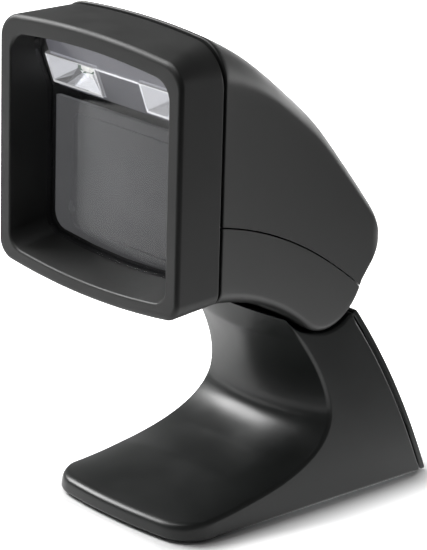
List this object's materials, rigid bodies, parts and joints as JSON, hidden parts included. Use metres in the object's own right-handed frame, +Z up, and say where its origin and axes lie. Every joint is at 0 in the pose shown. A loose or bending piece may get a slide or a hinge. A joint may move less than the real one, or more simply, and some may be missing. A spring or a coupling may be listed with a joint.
{
  "type": "presentation barcode scanner",
  "caption": "Hands-free checkout barcode scanner: a square-faced scan head with a recessed window, tapering to the rear and tilting on a curved, boot-shaped counter stand.",
  "frame": {"origin": "On the counter, under the middle of the part's bounding box.", "axes": "+Z up; the scan window faces -Y; +X is to the right of someone who looks along +Y at the window."},
  "size_m": [0.076, 0.108, 0.1464],
  "materials": {
    "shell_black": "fine-grained black moulded plastic",
    "bezel_black": "soft matt black moulded plastic",
    "stand_black": "satin black moulded plastic",
    "window_glass": "smoked clear acrylic",
    "rubber": "black rubber",
    "inner_black": "dead matt black plastic",
    "lens_glass": "coated optical glass",
    "circuit_green": "green solder mask",
    "steel": "zinc-plated steel",
    "cast_metal": "die-cast metal, tumbled",
    "panel_grey": "grey diffusing plastic",
    "mirror": "vacuum-metallised reflector",
    "led_white": "white lamp package with clear dome",
    "button_black": "satin black key top",
    "status_clear": "frosted clear light pipe",
    "filter_grey": "smooth grey filter plastic"
  },
  "bodies": {
    "stand": {"stand_body": "stand_black", "rear_cover": "stand_black", "base_plate": "steel", "ballast_weight": "cast_metal", "hinge_bracket": "cast_metal", "bracket_screw_left": "steel", "bracket_screw_right": "steel", "friction_washer_left": "steel", "friction_washer_right": "steel", "base_screw_front_left": "steel", "base_screw_front_right": "steel", "base_screw_rear_left": "steel", "base_screw_rear_right": "steel", "foot_pad_front_left": "rubber", "foot_pad_front_right": "rubber", "foot_pad_rear_left": "rubber", "foot_pad_rear_right": "rubber"},
    "head": {"front_bezel": "bezel_black", "scan_window": "window_glass", "window_gasket": "rubber", "window_mask": "filter_grey", "camera_filter": "filter_grey", "optics_hood": "inner_black", "camera_body": "inner_black", "lens_barrel": "inner_black", "camera_lens": "lens_glass", "sensor_board": "circuit_green", "camera_bracket": "steel", "aiming_lamp": "steel", "chassis_frame": "inner_black", "main_board": "circuit_green", "board_post_left": "steel", "board_post_right": "steel", "processor": "inner_black", "beeper": "inner_black", "interface_socket": "inner_black", "upper_shell": "shell_black", "lower_shell": "shell_black", "button_switch": "inner_black", "button_board": "circuit_green", "status_light": "status_clear", "shell_screw_left": "steel", "shell_screw_right": "steel", "hinge_shaft": "steel", "shaft_nut": "steel", "illumination_panel": "panel_grey", "reflector_left": "mirror", "reflector_right": "mirror", "lamp_left": "led_white", "lamp_right": "led_white", "lamp_board": "circuit_green"},
    "button": {"scan_button": "button_black"}
  },
  "joints": [
    {"name": "head_tilt", "type": "hinge", "parent": "stand", "child": "head", "pos_m": [0, 0.0185, 0.066], "axis": [-1, 0, 0], "range_deg": [-3, 20]},
    {"name": "button_press", "type": "slide", "parent": "head", "child": "button", "axis": [0, -0.5299, -0.848], "range_m": [0, 0.0008], "stiffness_N_per_m": 1500}
  ]
}
